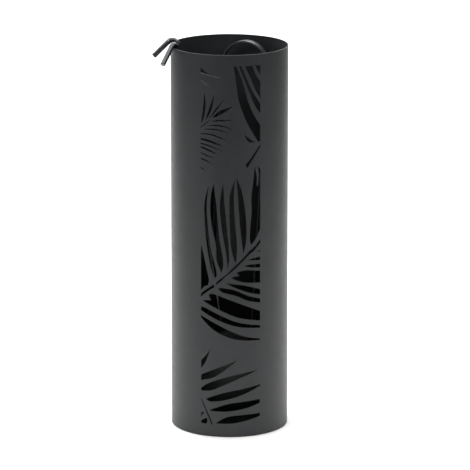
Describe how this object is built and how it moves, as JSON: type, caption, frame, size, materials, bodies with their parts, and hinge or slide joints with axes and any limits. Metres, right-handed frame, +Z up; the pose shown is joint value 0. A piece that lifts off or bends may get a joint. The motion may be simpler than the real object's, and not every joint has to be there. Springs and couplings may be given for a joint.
{
  "type": "umbrella stand",
  "caption": "Slim round steel tube stand with a leaf pattern cut through its front, holding a hook-ended shovel, a hook-ended poker and bow-sprung tongs.",
  "frame": {"origin": "on the floor, at the middle of the tube", "axes": "+Z up along the tube, -Y towards the front with the leaf pattern, +X to the right"},
  "size_m": [0.1739, 0.15, 0.5072],
  "materials": {
    "coated_sheet": "fine satin powder coat",
    "coated_base": "satin powder coat",
    "foam_foot": "closed-cell foam",
    "tool_bar": "bright dark plating",
    "tool_sheet": "satin dark coat"
  },
  "bodies": {
    "stand": {"tube": "coated_sheet", "base_disc": "coated_base", "foot_disc": "foam_foot"},
    "shovel": {"shovel_rod": "tool_bar", "shovel_blade": "tool_sheet", "shovel_rivet_1": "tool_bar", "shovel_rivet_2": "tool_bar"},
    "poker": {"poker": "tool_bar"},
    "tongs": {"tongs_bow": "tool_sheet"},
    "tongs_left": {"tongs_arm_left": "tool_sheet"},
    "tongs_right": {"tongs_arm_right": "tool_sheet"}
  },
  "joints": [
    {"name": "shovel_lift", "type": "slide", "parent": "stand", "child": "shovel", "axis": [0, 0, 1], "range_m": [0, 0.5]},
    {"name": "poker_lift", "type": "slide", "parent": "stand", "child": "poker", "axis": [0, 0, 1], "range_m": [0, 0.5]},
    {"name": "tongs_lift", "type": "slide", "parent": "stand", "child": "tongs", "axis": [0, 0, 1], "range_m": [0, 0.5]},
    {"name": "left_arm_squeeze", "type": "hinge", "parent": "tongs", "child": "tongs_left", "pos_m": [-0.00844, 0.05906, 0.45622], "axis": [-0.3071, -0.9508, 0.04], "range_deg": [0, 2], "stiffness_Nm_per_rad": 6},
    {"name": "right_arm_squeeze", "type": "hinge", "parent": "tongs", "child": "tongs_right", "pos_m": [0.04857, 0.04054, 0.45361], "axis": [0.3071, 0.9508, -0.04], "range_deg": [0, 2], "stiffness_Nm_per_rad": 6}
  ],
  "couplings": [
    {"joint": "right_arm_squeeze", "follows": "left_arm_squeeze", "ratio": 1}
  ]
}
